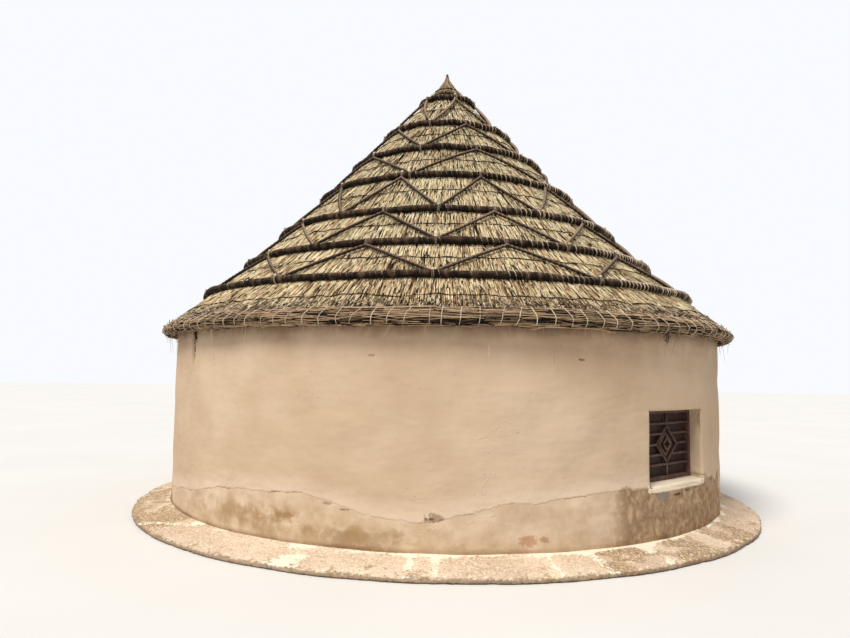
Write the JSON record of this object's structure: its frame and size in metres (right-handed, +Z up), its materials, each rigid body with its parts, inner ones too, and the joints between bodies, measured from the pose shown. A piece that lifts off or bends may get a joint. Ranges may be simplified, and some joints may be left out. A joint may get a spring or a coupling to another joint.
{
  "type": "rondavel hut",
  "caption": "Round earth-walled hut with a flared thatched roof bound by grass rings and zigzag rope, on a low plinth.",
  "frame": {"origin": "on the ground at the middle of the plinth", "axes": "+Z up along the hut's axis; the picture looks along +Y, so the side seen is at -Y; the front window is 41.8 degrees round from -Y towards +X and the doorway 90 degrees further"},
  "size_m": [7.2, 7.2, 5.4931],
  "materials": {
    "cement": "rough",
    "screed": "matte",
    "plaster": "matte",
    "sill_plaster": "matte",
    "dark_timber": "matte",
    "door_timber": "matte",
    "pole_timber": "matte",
    "thatch": "rough",
    "grass_roll": "rough",
    "grass_rope": "rough",
    "straw": "rough"
  },
  "bodies": {
    "root": {"plinth": "cement", "floor_screed": "screed", "wall_right": "plaster", "wall_back": "plaster", "wall_left_back": "plaster", "wall_left_front": "plaster", "wall_front": "plaster", "wall_over_door": "plaster", "wall_under_front_window": "plaster", "wall_over_front_window": "plaster", "front_window_sill": "sill_plaster", "front_window_frame": "dark_timber", "front_window_panel": "dark_timber", "wall_under_back_window": "plaster", "wall_over_back_window": "plaster", "back_window_sill": "sill_plaster", "back_window_frame": "dark_timber", "back_window_panel": "dark_timber", "door_threshold": "cement", "door_frame": "door_timber", "wall_plate": "pole_timber", "long_rafters": "pole_timber", "short_rafters": "pole_timber", "laths": "pole_timber", "roof_hub": "pole_timber", "thatch": "thatch", "eave_roll": "grass_roll", "binding_ring_1": "grass_roll", "binding_ring_2": "grass_roll", "binding_ring_3": "grass_roll", "binding_ring_4": "grass_roll", "binding_ring_5": "grass_roll", "binding_ring_6": "grass_roll", "binding_ring_7": "grass_roll", "zigzag_rope_1": "grass_rope", "zigzag_rope_2": "grass_rope", "zigzag_rope_3": "grass_rope", "zigzag_rope_4": "grass_rope", "zigzag_rope_5": "grass_rope", "zigzag_rope_6": "grass_rope", "apex_tuft": "straw", "tuft_cord": "grass_rope"}
  },
  "joints": []
}
